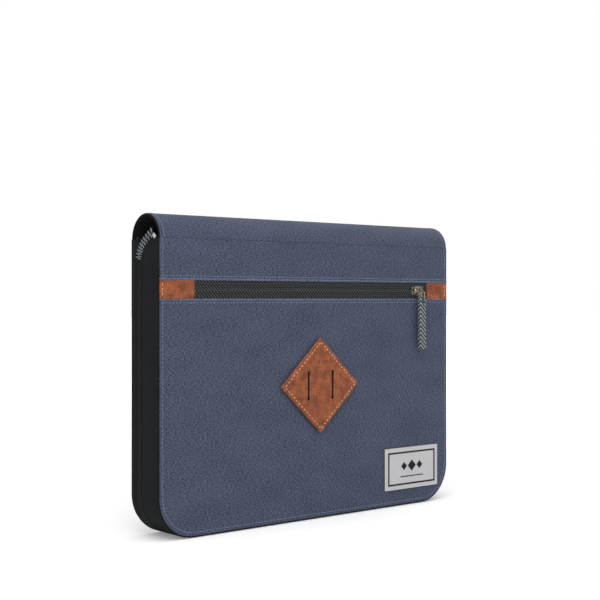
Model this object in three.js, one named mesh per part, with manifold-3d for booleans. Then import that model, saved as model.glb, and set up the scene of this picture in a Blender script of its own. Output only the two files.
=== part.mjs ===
// A zip-round tablet keyboard case, closed and standing on its bottom edge.
// Millimetres. X runs along the width, -Y is the pocket side, +Z is up, and the spine is at the top.
// The origin is the middle of the bottom face, half way through the depth.
import * as THREE from "three";
import { mergeVertices } from "three/addons/utils/BufferGeometryUtils.js";
import Module from "manifold-3d";

const wasm = await Module();
wasm.setup();

// ---- Driving dimensions ----
const tabletWidth = 251; // the widest tablet that the holder takes
const tabletHeight = 170; // the shortest, with the clamp closed
const tabletThickness = 7.4;
const sideRoom = 8; // from the tablet's side to the outside of the case
const footRoom = 16.5; // from the tablet's lower edge to the outside of the case
const cornerRadius = 28; // bottom corners of the covers and gussets
const splitShare = 0.706; // share of the depth that belongs to the front half
const gap = 0.3; // clearance between pieces that touch on the real case
const closedClearance = 0.5; // between the tablet grips and the keys when the case is shut

const coverFabric = 1.3;
const gussetWall = 1.4;
const tapeWall = 0.7;
const coilWidth = 2.6;
const coilHeight = 1.3;
const coilGap = 1.0; // space between the two coils, where a slider's post runs
const boardWall = 1.4;
const liningWall = 0.6;
const pocketRoom = 4.4; // thickness of the space inside the front pocket
const pocketLiningWall = 0.5;

const bandDrop = 55.5; // from the top of the spine to the lower edge of the pocket zip band
const bandHeight = 12.2;
const leftTabLength = 27.9;
const rightTabLength = 22.3;
const tapeOverlap = 4.4; // how far the pocket tape runs behind the fabric

const patchWidth = 72;
const patchHeight = 67.5;
const patchCentreX = 1;
const patchDrop = 61; // from the pocket zip band down to the patch's middle
const patchThickness = 1.6;
const patchSlotLength = 21.5;
const patchSlotWidth = 2.2;
const patchSlotSpacing = 22.3;

const labelWidth = 56;
const labelHeight = 31.2;
const labelSideRoom = 40; // from the label's middle to the side of the case
const labelCentreZ = 28.2;
const labelThickness = 0.8;
const labelFrameInset = 3.8;
const labelFrameLine = 1.1;

const clampTravel = 9;
const gripWall = 1.6;
const gripLip = 1.0;
const gripReach = 20;
const panelWall = 1.7;
const panelBottom = 8;
const kickstandWall = 1.4;
const kickstandWidth = 84;

const keyPitch = 16.2;
const rowPitch = 15.5;
const keySpacing = 2.6; // between two neighbouring keycaps
const keyboardBorder = 5.6;
const keyboardDrop = 35; // from the top of the spine to the keyboard's top edge
const keyboardThickness = 5;
const functionKeyHeight = 8;
const keyProud = 1.1;
const keyTravel = 1.2;
const webWall = 0.6;
const padWall = 0.6;

// ---- Planes and places worked out from them ----
const keySize = keyPitch - keySpacing;
const keyboardWidth = 14 * keyPitch + 2 * keyboardBorder;
const keyboardHeight = 5 * rowPitch + functionKeyHeight + 16.5;
const frontStack =
  coverFabric + pocketRoom + pocketLiningWall + gap + boardWall + gap + liningWall + gap + 0.1 +
  kickstandWall + gap + panelWall + tabletThickness + 0.1 + gripLip;
const backStack =
  keyProud + keyboardThickness + gap + padWall + gap + liningWall + gap + 0.1 + boardWall + gap + 0.1 + coverFabric;
const caseDepth = frontStack + closedClearance + backStack;
const caseWidth = tabletWidth + 2 * sideRoom;
const front = -caseDepth / 2;
const back = caseDepth / 2;
const halfWidth = caseWidth / 2;
const splitY = front + splitShare * caseDepth;

const tabletBottom = footRoom;
const tabletTop = tabletBottom + tabletHeight;
const panelTop = tabletTop + gripWall + 0.9;
const panelHingeZ = panelTop + 0.5;
const spineFoot = panelTop + 5.5; // where the spine's arch begins
const spineRadius = caseDepth / 2;
const caseHeight = spineFoot + spineRadius;
const bend = Math.PI / 4;
const foldAcross = spineRadius * bend; // the two fold axes lie this far from the middle
const foldHeight = spineFoot + foldAcross;
const chamferDrop = spineRadius - foldAcross;
const coverTop = foldHeight - chamferDrop; // where the covers end
const wallTop = spineFoot - 4.5; // top ends of the gussets
const tapeTop = wallTop + 3;
const boardTop = spineFoot + 1.5;
const tapeInset = gussetWall + gap;
const boardInset = tapeInset + tapeWall + gap + 0.5;

const bandBottom = caseHeight - bandDrop;
const bandTop = bandBottom + bandHeight;
const bandMiddle = bandBottom + bandHeight / 2;
const patchCentreZ = bandBottom - patchDrop;
const labelCentreX = halfWidth - labelSideRoom;

const coverBack = front + coverFabric; // back of the front cover's fabric
const pocketLiningFront = coverBack + pocketRoom;
const frontBoardFront = pocketLiningFront + pocketLiningWall + gap;
const frontLiningFront = frontBoardFront + boardWall + gap;
const kickstandFront = frontLiningFront + liningWall + gap + 0.1;
const panelFront = kickstandFront + kickstandWall + gap;
const panelFace = panelFront + panelWall; // where the tablet lies
const panelHingeY = kickstandFront + kickstandWall / 2;
const panelWidth = tabletWidth - 1;
const panelCorner = cornerRadius - 7;
const kickstandLength = (panelHingeZ - panelBottom - 1.5) / 2;

const backCoverFront = back - coverFabric;
const backBoardFront = backCoverFront - gap - 0.1 - boardWall;
const backLiningFront = backBoardFront - gap - 0.1 - liningWall;
const padFront = backLiningFront - gap - padWall;
const keyboardBack = padFront - gap;
const keyboardFace = keyboardBack - keyboardThickness;
const keyboardBottom = caseHeight - keyboardDrop - keyboardHeight;

const group = new THREE.Group();

// ---- Materials ----
const finish = (color, roughness, metalness = 0) =>
  new THREE.MeshStandardMaterial({ color, roughness, metalness });
const navyCloth = finish(0x474c63, 0.9);
const blackCloth = finish(0x26282b, 0.9);
const liningCloth = finish(0x3a3d42, 0.95);
const greyBoard = finish(0x8a8378, 0.9);
const tanLeather = finish(0xa5633f, 0.6);
const silverPlate = finish(0xc9c9c9, 0.45, 0.2);
const darkInk = finish(0x1d1712, 0.7);
const nylonCoil = finish(0x303436, 0.5);
const gunmetal = finish(0x9a9484, 0.3, 1);
const greyWebbing = finish(0x8a9094, 0.85);
const blackPlastic = finish(0x1e2023, 0.5);
const aluminium = finish(0xb9bcc0, 0.35, 0.9);
const keyPlastic = finish(0x17181a, 0.6);

// ---- Shape helpers ----
function add(name, geometry, material, parent = group) {
  const mesh = new THREE.Mesh(geometry, material);
  mesh.name = name;
  parent.add(mesh);
  return mesh;
}

// An X-Z outline made solid from its front plane to its back plane.
function slab(shape, yFront, yBack, curveSegments = 10) {
  const geometry = new THREE.ExtrudeGeometry(shape, {
    depth: yBack - yFront,
    bevelEnabled: false,
    curveSegments,
  });
  geometry.rotateX(Math.PI / 2);
  return geometry.translate(0, yBack, 0);
}

// A Y-Z outline made solid from one X to another.
function bar(shape, xLow, xHigh, curveSegments = 8) {
  const geometry = new THREE.ExtrudeGeometry(shape, {
    depth: xHigh - xLow,
    bevelEnabled: false,
    curveSegments,
  });
  geometry.rotateX(Math.PI / 2);
  geometry.rotateZ(Math.PI / 2);
  return geometry.translate(xLow, 0, 0);
}

function box(xLow, xHigh, yLow, yHigh, zLow, zHigh) {
  const geometry = new THREE.BoxGeometry(xHigh - xLow, yHigh - yLow, zHigh - zLow);
  return geometry.translate((xLow + xHigh) / 2, (yLow + yHigh) / 2, (zLow + zHigh) / 2);
}

function rectangle(xLow, xHigh, zLow, zHigh) {
  const shape = new THREE.Shape();
  shape.moveTo(xLow, zLow);
  shape.lineTo(xHigh, zLow);
  shape.lineTo(xHigh, zHigh);
  shape.lineTo(xLow, zHigh);
  shape.closePath();
  return shape;
}

// A cover's outline: round bottom corners, square top corners.
function coverOutline(half, bottom, top, radius) {
  const shape = new THREE.Shape();
  shape.moveTo(-half, top);
  shape.lineTo(-half, bottom + radius);
  shape.absarc(-half + radius, bottom + radius, radius, Math.PI, 1.5 * Math.PI, false);
  shape.lineTo(half - radius, bottom);
  shape.absarc(half - radius, bottom + radius, radius, 1.5 * Math.PI, 2 * Math.PI, false);
  shape.lineTo(half, top);
  shape.closePath();
  return shape;
}

// The side view of a strip that runs down one side, along the bottom and up the other side.
function roundWall(inset, wall, top) {
  const outer = halfWidth - inset;
  const inner = outer - wall;
  const centre = cornerRadius;
  const outerRadius = cornerRadius - inset;
  const innerRadius = outerRadius - wall;
  const side = halfWidth - cornerRadius;
  const shape = new THREE.Shape();
  shape.moveTo(-outer, top);
  shape.lineTo(-outer, centre);
  shape.absarc(-side, centre, outerRadius, Math.PI, 1.5 * Math.PI, false);
  shape.lineTo(side, inset);
  shape.absarc(side, centre, outerRadius, 1.5 * Math.PI, 2 * Math.PI, false);
  shape.lineTo(outer, top);
  shape.lineTo(inner, top);
  shape.lineTo(inner, centre);
  shape.absarc(side, centre, innerRadius, 2 * Math.PI, 1.5 * Math.PI, true);
  shape.lineTo(-side, inset + wall);
  shape.absarc(-side, centre, innerRadius, 1.5 * Math.PI, Math.PI, true);
  shape.lineTo(-inner, top);
  shape.closePath();
  return shape;
}

// manifold-3d only joins and cuts what three.js made.
function toSolid(geometry) {
  const bare = geometry.index ? geometry.toNonIndexed() : geometry.clone();
  bare.deleteAttribute("normal");
  bare.deleteAttribute("uv");
  const merged = mergeVertices(bare, 1e-4);
  return new wasm.Manifold(
    new wasm.Mesh({
      numProp: 3,
      vertProperties: merged.attributes.position.array,
      triVerts: new Uint32Array(merged.index.array),
    }),
  );
}

function fromSolid(solid) {
  const mesh = solid.getMesh();
  return new THREE.BufferGeometry()
    .setAttribute("position", new THREE.BufferAttribute(mesh.vertProperties, 3))
    .setIndex(new THREE.BufferAttribute(mesh.triVerts, 1));
}

const join = (...pieces) => fromSolid(pieces.map(toSolid).reduce((a, b) => a.add(b)));
const cut = (piece, ...tools) =>
  fromSolid(tools.map(toSolid).reduce((a, b) => a.subtract(b), toSolid(piece)));

// ---- Covers, boards and linings ----
function frontHalf() {
  const outline = coverOutline(halfWidth, 0, bandBottom, cornerRadius);
  add("front_cover_lower", slab(outline, front, coverBack), navyCloth);
  const upper = rectangle(-halfWidth, halfWidth, bandTop, coverTop - gap / 2);
  add("front_cover_upper", slab(upper, front, coverBack), navyCloth);

  const inner = halfWidth - boardInset;
  const innerRadius = cornerRadius - boardInset;
  const inside = coverOutline(inner, boardInset, boardTop, innerRadius);
  const sheets = [
    ["pocket_lining", pocketLiningFront, pocketLiningWall, liningCloth],
    ["front_board", frontBoardFront, boardWall, greyBoard],
    ["front_lining", frontLiningFront, liningWall, liningCloth],
  ];
  for (const [name, yFront, wall, material] of sheets) {
    add(name, slab(inside, yFront, yFront + wall), material);
  }
  const wallFront = coverBack + gap;
  const wallBack = splitY - coilGap / 2 - coilWidth - 1.7;
  add("front_gusset", slab(roundWall(0, gussetWall, wallTop), wallFront, wallBack), blackCloth);
}

function backHalf() {
  const outline = coverOutline(halfWidth, 0, coverTop - gap / 2, cornerRadius);
  add("back_cover", slab(outline, backCoverFront, back), navyCloth);
  const inner = halfWidth - boardInset;
  const innerRadius = cornerRadius - boardInset;
  const inside = coverOutline(inner, boardInset, boardTop, innerRadius);
  add("back_board", slab(inside, backBoardFront, backBoardFront + boardWall), greyBoard);
  add("back_lining", slab(inside, backLiningFront, backLiningFront + liningWall), liningCloth);
  const wallFront = splitY + coilGap / 2 + coilWidth + 1.7;
  add("back_gusset", slab(roundWall(0, gussetWall, wallTop), wallFront, backCoverFront - gap), blackCloth);
}

// The zip that runs round three sides: a tape and a coil on each half.
function mainZip() {
  const tape = roundWall(tapeInset, tapeWall, tapeTop);
  const coil = roundWall(tapeInset - gap - coilHeight, coilHeight, tapeTop);
  const frontEdge = splitY - coilGap / 2;
  const backEdge = splitY + coilGap / 2;
  const sewn = 5.5; // width of tape hidden behind each gusset
  add("front_zip_tape", slab(tape, frontEdge - coilWidth - sewn, frontEdge), blackCloth);
  add("front_zip_coil", slab(coil, frontEdge - coilWidth, frontEdge), nylonCoil);
  add("back_zip_tape", slab(tape, backEdge, backEdge + coilWidth + 2.8), blackCloth);
  add("back_zip_coil", slab(coil, backEdge, backEdge + coilWidth), nylonCoil);
}

// The spine: a bent strip over the top and a slanting strip on each cover. The two fold axes lie on the
// outer surface, where the strips meet, and each slanting strip is mitred to its cover's square end.
function spine() {
  const length = chamferDrop * Math.SQRT2;
  const coverMitre = coverFabric * Math.tan(bend);
  const clear = gap / 2;
  const starts = {
    spine_strip_back: [back, coverTop, Math.PI / 2 + bend, coverMitre, 0],
    spine_strip_front: [-foldAcross, foldHeight, Math.PI + bend, 0, coverMitre],
  };
  for (const [name, [y, z, angle, startMitre, endMitre]] of Object.entries(starts)) {
    const along = [Math.cos(angle), Math.sin(angle)];
    const inward = [-Math.sin(angle), Math.cos(angle)];
    const at = (s, depth) => [
      y + along[0] * s + inward[0] * depth,
      z + along[1] * s + inward[1] * depth,
    ];
    const profile = new THREE.Shape();
    profile.moveTo(...at(clear, 0));
    profile.lineTo(...at(length - clear, 0));
    profile.lineTo(...at(length - clear - endMitre, coverFabric));
    profile.lineTo(...at(clear + startMitre, coverFabric));
    profile.closePath();
    add(name, bar(profile, -halfWidth, halfWidth), navyCloth);
  }

  const flatHalf = foldAcross - chamferDrop;
  const step = clear * Math.SQRT1_2;
  const inset = coverFabric * Math.SQRT1_2;
  const turn = coverFabric * Math.tan(bend / 2);
  const endY = foldAcross - step;
  const endZ = foldHeight + step;
  const top = new THREE.Shape();
  top.moveTo(endY, endZ);
  top.lineTo(flatHalf, caseHeight);
  top.lineTo(-flatHalf, caseHeight);
  top.lineTo(-endY, endZ);
  top.lineTo(-endY + inset, endZ - inset);
  top.lineTo(-flatHalf + turn, caseHeight - coverFabric);
  top.lineTo(flatHalf - turn, caseHeight - coverFabric);
  top.lineTo(endY - inset, endZ - inset);
  top.closePath();
  add("spine_strip_top", bar(top, -halfWidth, halfWidth), navyCloth);
}

// ---- Front pocket: zip band, leather tabs, lash patch and label ----
const pocketTapeFront = coverBack + gap;
const pocketCoilFront = pocketTapeFront + tapeWall + gap;

function pocketBand() {
  const tabFront = front + 0.4;
  const left = rectangle(-halfWidth, -halfWidth + leftTabLength, bandBottom + gap, bandTop - gap);
  const right = rectangle(halfWidth - rightTabLength, halfWidth, bandBottom + gap, bandTop - gap);
  add("pocket_tab_left", slab(left, tabFront, coverBack), tanLeather);
  add("pocket_tab_right", slab(right, tabFront, coverBack), tanLeather);

  const half = halfWidth - gussetWall - 0.6;
  const coilHalf = half - 12;
  const edge = coilGap / 2;
  const reach = bandHeight / 2 + tapeOverlap;
  for (const [name, side] of [["upper", 1], ["lower", -1]]) {
    const strip = (x, from, to) => {
      const a = bandMiddle + side * from;
      const b = bandMiddle + side * to;
      return rectangle(-x, x, Math.min(a, b), Math.max(a, b));
    };
    const tape = slab(strip(half, edge, reach), pocketTapeFront, pocketTapeFront + tapeWall);
    add("pocket_tape_" + name, tape, blackCloth);
    const coil = slab(strip(coilHalf, edge, edge + coilWidth - 0.2), pocketCoilFront, pocketCoilFront + 1.2);
    add("pocket_coil_" + name, coil, nylonCoil);
  }
}

function lashPatch() {
  const backingWall = 0.5;
  const backingBack = front - gap;
  const patchBack = backingBack - backingWall - gap;
  const diamond = (halfX, halfZ) => {
    const shape = new THREE.Shape();
    shape.moveTo(patchCentreX, patchCentreZ - halfZ);
    shape.lineTo(patchCentreX + halfX, patchCentreZ);
    shape.lineTo(patchCentreX, patchCentreZ + halfZ);
    shape.lineTo(patchCentreX - halfX, patchCentreZ);
    shape.closePath();
    return shape;
  };
  const outer = slab(diamond(patchWidth / 2, patchHeight / 2), patchBack - patchThickness, patchBack);
  const slots = [-1, 1].map((side) => {
    const x = patchCentreX + (side * patchSlotSpacing) / 2;
    const half = patchSlotLength / 2;
    return box(
      x - patchSlotWidth / 2, x + patchSlotWidth / 2,
      patchBack - patchThickness - 1, patchBack + 1, patchCentreZ - half, patchCentreZ + half,
    );
  });
  add("lash_patch", cut(outer, ...slots), tanLeather);
  const backing = diamond(patchWidth / 2 - 3, patchHeight / 2 - 3);
  add("lash_patch_backing", slab(backing, patchBack + gap, backingBack), blackCloth);
}

function label() {
  const plateBack = front - gap;
  const grooveDepth = 0.4;
  const around = (inset) =>
    rectangle(
      labelCentreX - labelWidth / 2 + inset,
      labelCentreX + labelWidth / 2 - inset,
      labelCentreZ - labelHeight / 2 + inset,
      labelCentreZ + labelHeight / 2 - inset,
    );
  const ring = (outer, inner) => {
    const shape = around(outer);
    shape.holes.push(around(inner));
    return shape;
  };
  const plateFront = plateBack - labelThickness;
  const plate = slab(around(0), plateFront, plateBack);
  const groove = slab(
    ring(labelFrameInset - gap, labelFrameInset + labelFrameLine + gap),
    plateFront - 1,
    plateFront + grooveDepth,
  );
  add("label_plate", cut(plate, groove), silverPlate);
  const line = ring(labelFrameInset, labelFrameInset + labelFrameLine);
  add("label_frame", slab(line, plateFront - 0.1, plateFront + grooveDepth - 0.1), darkInk);
}

// ---- Sliders, pull rings and pull cords ----
const sliderPlate = 1.2;
const sliderWidth = 8;
const sliderLength = 12;
const bridgeBar = 1.2;
const bridgeWidth = 1.4;
const bridgeHole = 2;
const bridgeLength = 9.4;
const postWall = 0.4;
const ringWire = 1;

// Local frame: the zip runs along X and the outside is at -Y, with the outer plate's front at y = 0.
function sliderSolid(postDepth, innerWall) {
  const half = sliderLength / 2;
  const halfBridge = bridgeLength / 2;
  const out = bridgeHole + bridgeBar;
  const plate = box(-half, half, 0, sliderPlate, -sliderWidth / 2, sliderWidth / 2);
  const innerFront = sliderPlate + postDepth;
  const inner = box(-half, half, innerFront, innerFront + innerWall, -sliderWidth / 2, sliderWidth / 2);
  const post = box(1, half, sliderPlate / 2, innerFront + innerWall / 2, -postWall / 2, postWall / 2);
  const arch = new THREE.Shape();
  arch.moveTo(-halfBridge, sliderPlate / 2);
  arch.lineTo(-halfBridge, -out + 1);
  arch.lineTo(-halfBridge + 1, -out);
  arch.lineTo(halfBridge - 1, -out);
  arch.lineTo(halfBridge, -out + 1);
  arch.lineTo(halfBridge, sliderPlate / 2);
  arch.lineTo(halfBridge - bridgeBar, sliderPlate / 2);
  arch.lineTo(halfBridge - bridgeBar, -bridgeHole);
  arch.lineTo(-halfBridge + bridgeBar, -bridgeHole);
  arch.lineTo(-halfBridge + bridgeBar, sliderPlate / 2);
  arch.closePath();
  const bridge = new THREE.ExtrudeGeometry(arch, { depth: bridgeWidth, bevelEnabled: false });
  bridge.translate(0, 0, -bridgeWidth / 2);
  return join(plate, inner, post, bridge);
}

// A cord folded over a ring's lower wire: the loop's hole at the top, the two legs sewn together below.
function foldedCord(legWall, slotHalf, length, loopLength) {
  const half = slotHalf + legWall;
  const shape = new THREE.Shape();
  shape.absarc(0, 0, half, 0, Math.PI, false);
  shape.lineTo(-half, -length);
  shape.lineTo(half, -length);
  shape.closePath();
  const hole = new THREE.Path();
  hole.absarc(0, 0, slotHalf, 0, Math.PI, false);
  hole.lineTo(-slotHalf, -loopLength + slotHalf);
  hole.lineTo(0, -loopLength);
  hole.lineTo(slotHalf, -loopLength + slotHalf);
  hole.closePath();
  shape.holes.push(hole);
  return shape;
}

const pocketSliderX = halfWidth - 32.5;
const pocketPlateFront = front + 0.1;
const pocketBarY = pocketPlateFront - bridgeHole - bridgeBar / 2;
const pocketRingDrop = 5.9; // from the bridge to the middle of the ring's lower wire
const pocketCordLength = 38.5;
const pocketCordWidth = 3.2;
const pocketRingCentre = 2.1; // the lower wire's middle lies this far in front of the bridge

function pocketSlider() {
  const innerPlate = 0.8;
  const postDepth = pocketCoilFront + 1.2 + gap - (pocketPlateFront + sliderPlate);
  const slider = sliderSolid(postDepth, innerPlate);
  slider.translate(pocketSliderX, pocketPlateFront, bandMiddle);
  add("pocket_slider", slider, gunmetal);

  // The ring's back leg stays upright, and its front leg leans out to make room for the cord.
  const clear = 1.1;
  const outer = clear + ringWire;
  const lean = 2.8;
  const ring = new THREE.Shape();
  ring.absarc(0, 0, outer, 0, Math.PI, false);
  ring.lineTo(-outer - lean, -2.4);
  ring.lineTo(-outer - lean, -pocketRingDrop - ringWire / 2);
  ring.lineTo(outer, -pocketRingDrop - ringWire / 2);
  ring.closePath();
  const hole = new THREE.Path();
  hole.absarc(0, 0, clear, 0, Math.PI, false);
  hole.lineTo(-clear - lean, -2);
  hole.lineTo(-clear - lean, -pocketRingDrop + ringWire / 2);
  hole.lineTo(clear, -pocketRingDrop + ringWire / 2);
  hole.closePath();
  ring.holes.push(hole);
  const ringSolid = bar(ring, pocketSliderX - 0.6, pocketSliderX + 0.6);
  ringSolid.translate(0, pocketBarY, bandMiddle);
  add("pocket_pull_ring", ringSolid, gunmetal);

  const y = pocketBarY - pocketRingCentre;
  const cord = slab(foldedCord(2.2, 0.9, pocketCordLength, 9), -pocketCordWidth / 2, pocketCordWidth / 2);
  cord.translate(pocketSliderX, y, bandMiddle - pocketRingDrop);
  add("pocket_pull_cord", cord, greyWebbing);
}

const mainSliderZ = caseHeight - 29.5;
const mainRingDrop = 7;
const mainCordLength = 38;
const mainCordWidth = 3.8;

function mainSlider() {
  const plateFront = -(gap + sliderPlate) - 0.1; // outer plate's face, measured in from the gusset's surface
  const innerPlate = 0.9;
  const postDepth = tapeInset + tapeWall + gap + gap;
  const slider = sliderSolid(postDepth, innerPlate);
  // Stand the zip direction up (the post towards the spine), then turn the outside to +X.
  slider.rotateY(-Math.PI / 2);
  slider.rotateZ(Math.PI / 2);
  slider.translate(halfWidth - plateFront, splitY, mainSliderZ);
  add("main_slider", slider, gunmetal);

  const wireX = halfWidth - plateFront + bridgeHole / 2;
  const wireZ = mainSliderZ - bridgeLength / 2 + bridgeBar + 1.2;
  const inner = 2.2;
  const outer = inner + ringWire;
  const ring = new THREE.Shape();
  ring.moveTo(-outer, -mainRingDrop - ringWire / 2);
  ring.lineTo(outer, -mainRingDrop - ringWire / 2);
  ring.lineTo(outer, ringWire / 2);
  ring.lineTo(-outer, ringWire / 2);
  ring.closePath();
  const hole = new THREE.Path();
  hole.moveTo(-inner, -mainRingDrop + ringWire / 2);
  hole.lineTo(-inner, -ringWire / 2);
  hole.lineTo(inner, -ringWire / 2);
  hole.lineTo(inner, -mainRingDrop + ringWire / 2);
  hole.closePath();
  ring.holes.push(hole);
  const ringSolid = bar(ring, wireX - ringWire / 2, wireX + ringWire / 2);
  add("main_pull_ring", ringSolid.translate(0, splitY, wireZ), gunmetal);

  const cord = slab(foldedCord(1, 0.8, mainCordLength, 6), -mainCordWidth / 2, mainCordWidth / 2);
  add("main_pull_cord", cord.translate(wireX, splitY, wireZ - mainRingDrop), greyWebbing);
}

// ---- Tablet holder: tilting panel, corner grips, sprung clamp and kickstand ----
function tabletHolder() {
  const panel = coverOutline(panelWidth / 2, panelBottom, panelTop, panelCorner);
  const tongueHalf = 38;
  const barHalf = 72;
  const barHeight = 9.6;
  const notchTop = tabletBottom - gripWall + barHeight + 1;
  const windowTop = 70;
  const tongueTop = 46;
  const notch = box(-barHalf - gap, barHalf + gap, panelFront - 1, panelFace + 1, panelBottom - 1, notchTop);
  const window = box(-tongueHalf - gap, tongueHalf + gap, panelFront - 1, panelFace + 1, notchTop - 1, windowTop);
  add("tablet_panel", cut(slab(panel, panelFront, panelFace), notch, window), blackPlastic);

  const lipFront = panelFace + tabletThickness + 0.1;
  const lipBack = lipFront + gripLip;
  for (const [name, side] of [["left", -1], ["right", 1]]) {
    const across = (from, to) => [Math.min(side * from, side * to), Math.max(side * from, side * to)];
    const wallIn = tabletWidth / 2 + gap;
    const wallOut = wallIn + gripWall;
    const low = tabletTop - gripReach;
    const foot = panelFace + gap;
    const sideWall = box(...across(wallIn, wallOut), foot, lipBack, low, tabletTop + gripWall);
    const endWall = box(...across(wallIn - gripReach, wallOut), foot, lipBack, tabletTop + gap, tabletTop + gripWall);
    const lip = new THREE.Shape();
    lip.moveTo(side * wallOut, tabletTop + gripWall);
    lip.lineTo(side * (wallOut - gripReach), tabletTop + gripWall);
    lip.lineTo(side * (wallOut - gripReach), tabletTop - 2);
    lip.lineTo(side * (wallIn - 2), low);
    lip.lineTo(side * wallOut, low);
    lip.closePath();
    add("tablet_grip_" + name, join(sideWall, endWall, slab(lip, lipFront, lipBack)), blackPlastic);
  }

  const plateFront = panelFront + 0.1;
  const plateBack = panelFace - 0.2;
  const barLow = tabletBottom - gripWall;
  const crossBar = box(-barHalf, barHalf, plateFront, plateBack, barLow, barLow + barHeight);
  const tongue = box(-tongueHalf, tongueHalf, plateFront, plateBack, barLow + 1, tongueTop);
  const claws = [-1, 1].flatMap((side) => {
    const inner = Math.min(side * (barHalf - 20), side * barHalf);
    const outer = Math.max(side * (barHalf - 20), side * barHalf);
    return [
      box(inner, outer, plateFront, lipBack, barLow, tabletBottom - gap),
      box(inner, outer, lipFront, lipBack, barLow, barLow + 8),
    ];
  });
  add("tablet_clamp", join(crossBar, tongue, ...claws), blackPlastic);
  const elastic = box(-6, 6, plateFront + 0.2, plateBack - 0.2, tongueTop + gap, windowTop - gap);
  add("clamp_elastic", elastic, blackCloth);

  const hinge = panelHingeZ - kickstandLength;
  const radius = kickstandWall / 2;
  const stand = new THREE.Shape();
  stand.absarc(panelHingeY, hinge, radius, 0, Math.PI, false);
  stand.absarc(panelHingeY, hinge - kickstandLength, radius, Math.PI, 2 * Math.PI, false);
  stand.closePath();
  add("kickstand", bar(stand, -kickstandWidth / 2, kickstandWidth / 2), blackPlastic);
}

// ---- Keyboard ----
// Key widths in units of one key, from left to right.
const rows = [
  { name: "key_row_modifiers_left", from: -7, units: [1, 1, 1, 1.25], row: 0 },
  { name: "space_bar", from: -2.7, units: [4.9], row: 0 },
  { name: "key_row_modifiers_right", from: 2.25, units: [1.25, 1, 1.25, 1.25], row: 0 },
  { name: "key_row_lower", from: -7, units: [2, 1, 1, 1, 1, 1, 1, 1, 1, 1, 1, 2], row: 1 },
  { name: "key_row_home", from: -7, units: [1.5, 1, 1, 1, 1, 1, 1, 1, 1, 1, 1, 2.5], row: 2 },
  { name: "key_row_upper", from: -7, units: [1.25, 1, 1, 1, 1, 1, 1, 1, 1, 1, 1, 1, 1.75], row: 3 },
  { name: "key_row_number", from: -7, units: [1, 1, 1, 1, 1, 1, 1, 1, 1, 1, 1, 1, 2], row: 4 },
  { name: "key_row_function", from: -7, units: [1, 1, 1, 1, 1, 1, 1, 1, 1, 1, 1, 1, 1, 1], row: 5 },
];
const rowEdge = keyboardBottom + 2;

function rowSpan(row) {
  const low = rowEdge + row * rowPitch + (rowPitch - keySize) / 2;
  return [low, low + (row === 5 ? functionKeyHeight : keySize)];
}

function keyboard() {
  const half = keyboardWidth / 2;
  const top = keyboardBottom + keyboardHeight;
  const frameWall = 0.9;
  const shellWall = 1.5;
  const baseWall = 0.8;
  const frameBack = keyboardFace + frameWall;
  const cavityBack = keyboardBack - baseWall;
  const keyFront = keyboardFace - keyProud;
  const webFront = frameBack + gap;
  const lastRowTop = rowSpan(5)[1];

  const shell = box(-half, half, frameBack + gap, keyboardBack, keyboardBottom, top);
  const cavity = box(
    -half + shellWall, half - shellWall, frameBack, cavityBack, keyboardBottom + shellWall, top - shellWall,
  );
  const portLow = top - 11;
  const port = box(half - 2.5, half + 1, frameBack + 0.6, cavityBack - gap, portLow, portLow + 8.6);
  add("keyboard_base", cut(shell, cavity, port), blackPlastic);
  const socket = box(half - 6, half - 0.2, frameBack + 0.9, cavityBack - gap * 2, portLow + gap, portLow + 8.3);
  const mouth = box(half - 5, half, frameBack + 1.2, cavityBack - gap * 3, portLow + 0.8, portLow + 7.8);
  add("charge_port", cut(socket, mouth), aluminium);

  const wells = rows.map(({ from, units, row }) => {
    const [low, high] = rowSpan(row);
    const width = units.reduce((a, b) => a + b, 0) * keyPitch;
    const left = from * keyPitch;
    return box(left + 0.4, left + width - 0.4, keyboardFace - 1, frameBack + 1, low - gap, high + gap);
  });
  const switchX = half - 27;
  const switchZ = top - 6;
  const switchTravel = 3;
  const switchHalf = 3;
  wells.push(
    box(
      switchX - switchHalf - gap, switchX + switchHalf + switchTravel + gap,
      keyboardFace - 1, frameBack + 1, switchZ - 1.6, switchZ + 1.6,
    ),
  );
  add("keyboard_frame", cut(box(-half, half, keyboardFace, frameBack, keyboardBottom, top), ...wells), aluminium);
  const knob = box(switchX - switchHalf, switchX + switchHalf, keyboardFace - 0.5, webFront + 0.8, switchZ - 1.3, switchZ + 1.3);
  add("power_switch", knob, blackPlastic);

  // Each row is one moulding: keycaps on a thin web that sits under the frame.
  for (const { name, from, units, row } of rows) {
    const [low, high] = rowSpan(row);
    const side = (keyPitch - keySize) / 2;
    const comb = new THREE.Shape();
    const width = units.reduce((a, b) => a + b, 0) * keyPitch;
    const left = from * keyPitch;
    comb.moveTo(left + side, webFront + webWall);
    let x = left;
    units.forEach((unit, i) => {
      comb.lineTo(x + side, i ? webFront : keyFront);
      if (i) comb.lineTo(x + side, keyFront);
      x += unit * keyPitch;
      comb.lineTo(x - side, keyFront);
      if (i < units.length - 1) comb.lineTo(x - side, webFront);
    });
    comb.lineTo(left + width - side, webFront + webWall);
    comb.closePath();
    const solid = new THREE.ExtrudeGeometry(comb, { depth: high - low, bevelEnabled: false });
    add(name, solid.translate(0, 0, low), keyPlastic);
  }

  const boardFront = webFront + webWall + keyTravel + gap;
  add(
    "keyboard_circuit_board",
    box(-half + 3, half - 3, boardFront, cavityBack - gap, keyboardBottom + 3, lastRowTop + 0.5),
    greyBoard,
  );
  add("keyboard_battery", box(-60, 60, webFront, cavityBack - gap, lastRowTop + 1.5, top - 2.5), silverPlate);
  for (const [name, side] of [["left", -1], ["right", 1]]) {
    const inner = Math.min(side * 60, side * 100);
    const outer = Math.max(side * 60, side * 100);
    add(
      "keyboard_pad_" + name,
      box(inner, outer, padFront, padFront + padWall, keyboardBottom + 26, keyboardBottom + 76),
      blackCloth,
    );
  }
}

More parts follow.
